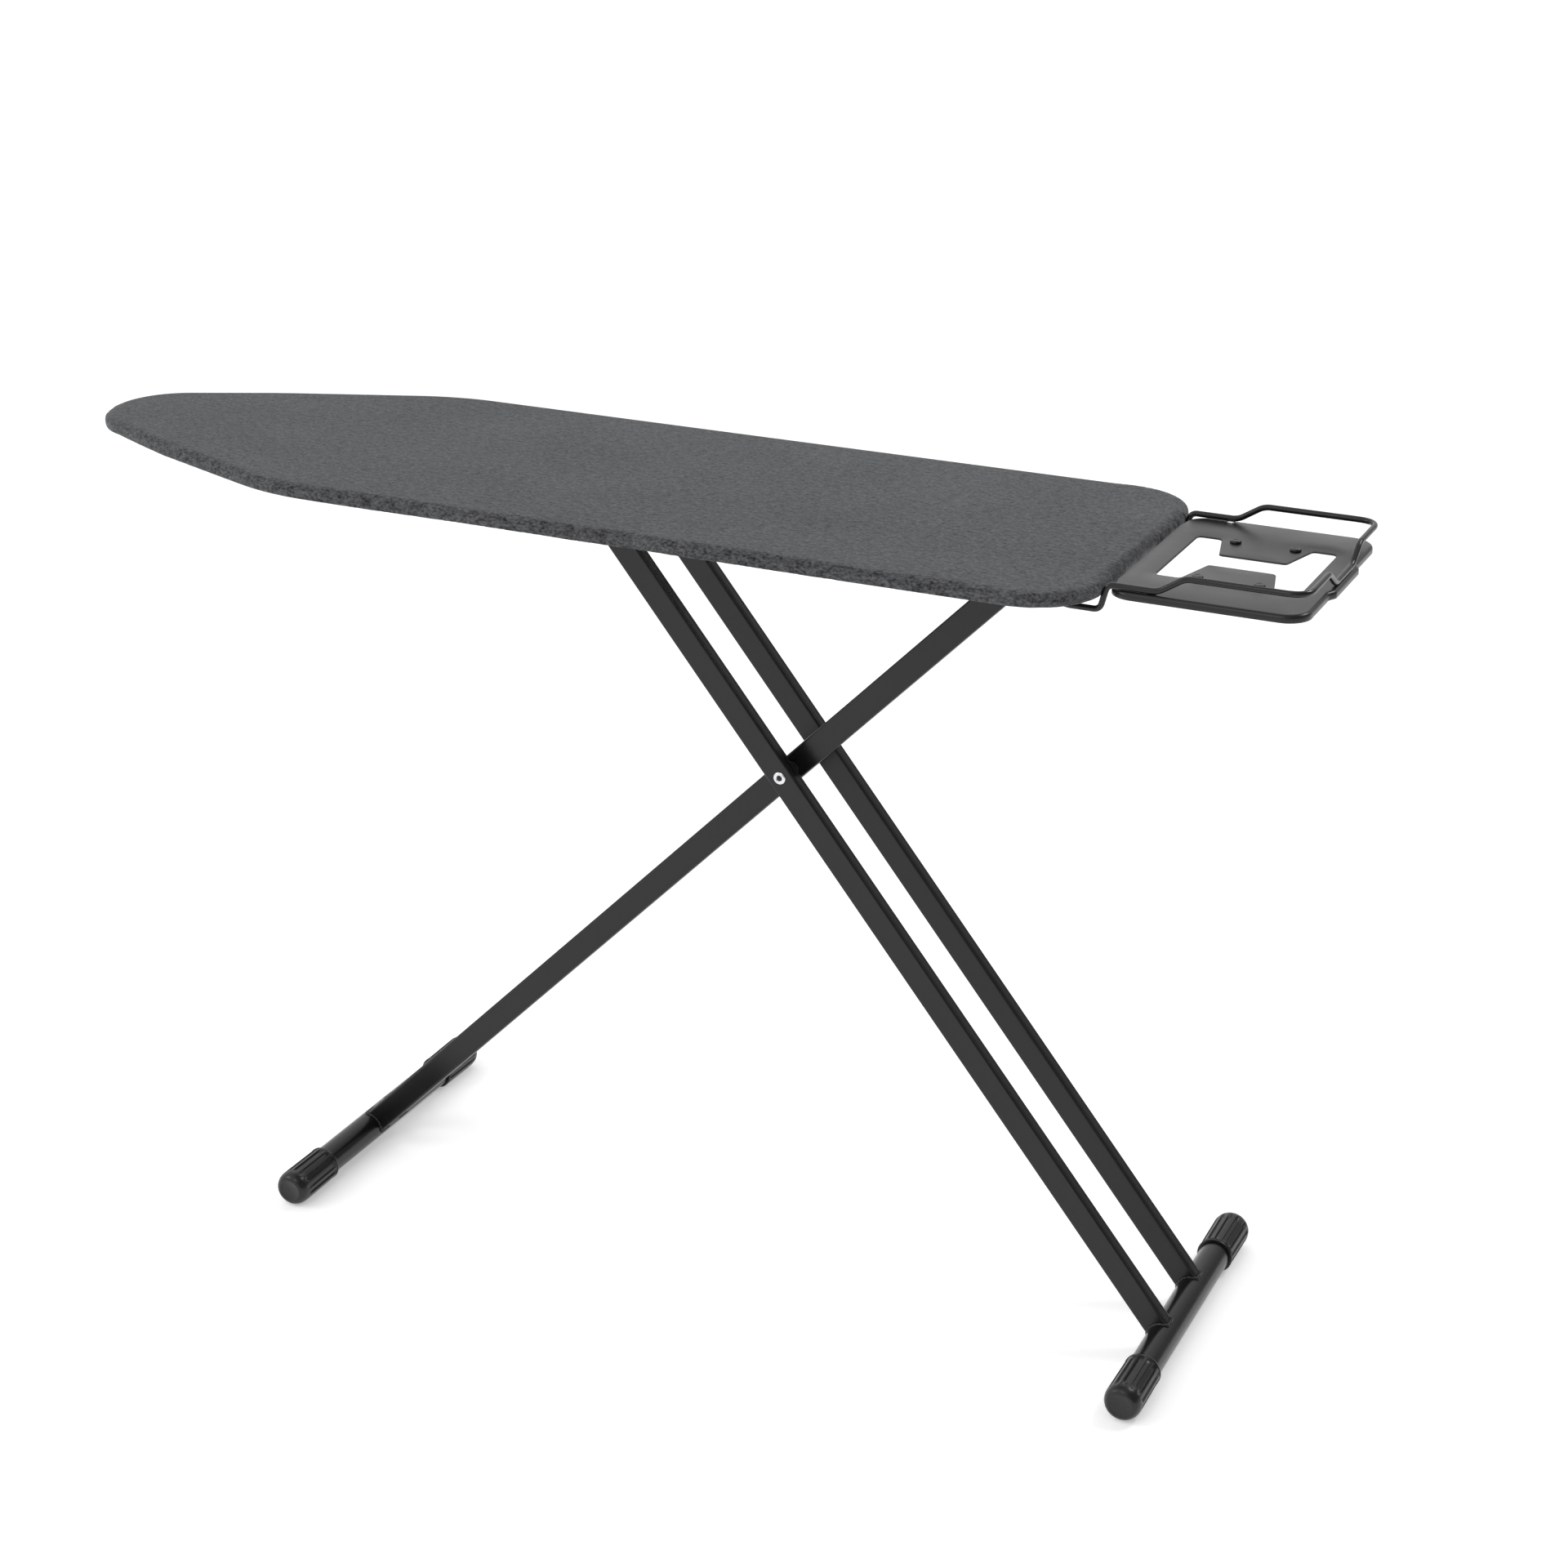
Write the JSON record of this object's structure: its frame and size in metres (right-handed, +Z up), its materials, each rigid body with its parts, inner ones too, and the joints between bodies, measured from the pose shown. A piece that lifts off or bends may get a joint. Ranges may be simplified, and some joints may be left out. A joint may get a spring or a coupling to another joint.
{
  "type": "ironing board",
  "caption": "Folding ironing board with a tapered padded top, crossed tube legs on cross feet, and a plate with a raised wire rail that holds the iron.",
  "frame": {"origin": "middle of the footprint, between the nose and the iron rest's far end, at floor level", "axes": "+X along the board towards the iron rest, +Y across it towards the side away from the release lever, +Z up"},
  "size_m": [1.475, 0.412, 0.9177],
  "materials": {
    "cover_cloth": "dark grey melange woven cover, matt",
    "felt": "off-white needled felt",
    "elastic": "black woven elastic",
    "black_paint": "satin black powder coat",
    "grey_paint": "satin dark grey powder coat",
    "zinc_steel": "bright zinc-plated steel",
    "rubber": "matt black rubber",
    "black_plastic": "black moulded nylon"
  },
  "bodies": {
    "board": {"cover": "cover_cloth", "hem_elastic": "elastic", "padding": "felt", "mesh_top": "grey_paint", "perimeter_frame": "black_paint", "strap_front": "black_paint", "strap_middle": "black_paint", "strap_rear": "black_paint", "rack_rail_near": "grey_paint", "rack_rail_far": "grey_paint", "lever_spring": "zinc_steel", "hinge_bracket_near": "grey_paint", "hinge_bracket_far": "grey_paint", "hinge_axle": "zinc_steel", "rest_plate": "grey_paint", "rest_wire": "black_paint", "rest_button_rear_near": "rubber", "rest_button_rear_far": "rubber", "rest_button_end_near": "rubber", "rest_button_end_far": "rubber"},
    "inner_leg": {"inner_tube_near": "black_paint", "inner_tube_far": "black_paint", "inner_foot_tube": "black_paint", "inner_foot_cap_near": "rubber", "inner_foot_cap_far": "rubber", "pivot_rivet": "zinc_steel", "pivot_spacer_near": "black_plastic", "pivot_spacer_middle": "black_plastic", "pivot_spacer_far": "black_plastic"},
    "outer_leg": {"outer_tube_near": "black_paint", "outer_tube_far": "black_paint", "outer_foot_tube": "black_paint", "outer_foot_cap_near": "rubber", "outer_foot_cap_far": "rubber", "slider_bar": "zinc_steel"},
    "roller_near_wheel": {"roller_near": "black_plastic"},
    "roller_far_wheel": {"roller_far": "black_plastic"},
    "release_lever": {"lever_rod": "zinc_steel", "lever_finger_near": "grey_paint", "lever_finger_far": "grey_paint", "lever_handle": "black_plastic"}
  },
  "joints": [
    {"name": "leg_fold", "type": "hinge", "parent": "board", "child": "inner_leg", "pos_m": [0.41175, 0, 0.864], "axis": [0, 1, 0], "range_deg": [0, 43.75]},
    {"name": "leg_scissor", "type": "hinge", "parent": "inner_leg", "child": "outer_leg", "pos_m": [0.1514, 0, 0.6], "axis": [0, -1, 0], "range_deg": [0, 93.01]},
    {"name": "roller_near_spin", "type": "hinge", "parent": "outer_leg", "child": "roller_near_wheel", "pos_m": [-0.06199, 0, 0.864], "axis": [0, 1, 0], "continuous": true},
    {"name": "roller_far_spin", "type": "hinge", "parent": "outer_leg", "child": "roller_far_wheel", "pos_m": [-0.06199, 0, 0.864], "axis": [0, 1, 0], "continuous": true},
    {"name": "lever_squeeze", "type": "hinge", "parent": "board", "child": "release_lever", "pos_m": [-0.03199, 0, 0.8814], "axis": [0, -1, 0], "range_deg": [0, 14], "stiffness_Nm_per_rad": 0.4, "springref_deg": -8.59}
  ],
  "couplings": [
    {"joint": "leg_scissor", "follows": "leg_fold", "ratio": 2.1257}
  ]
}
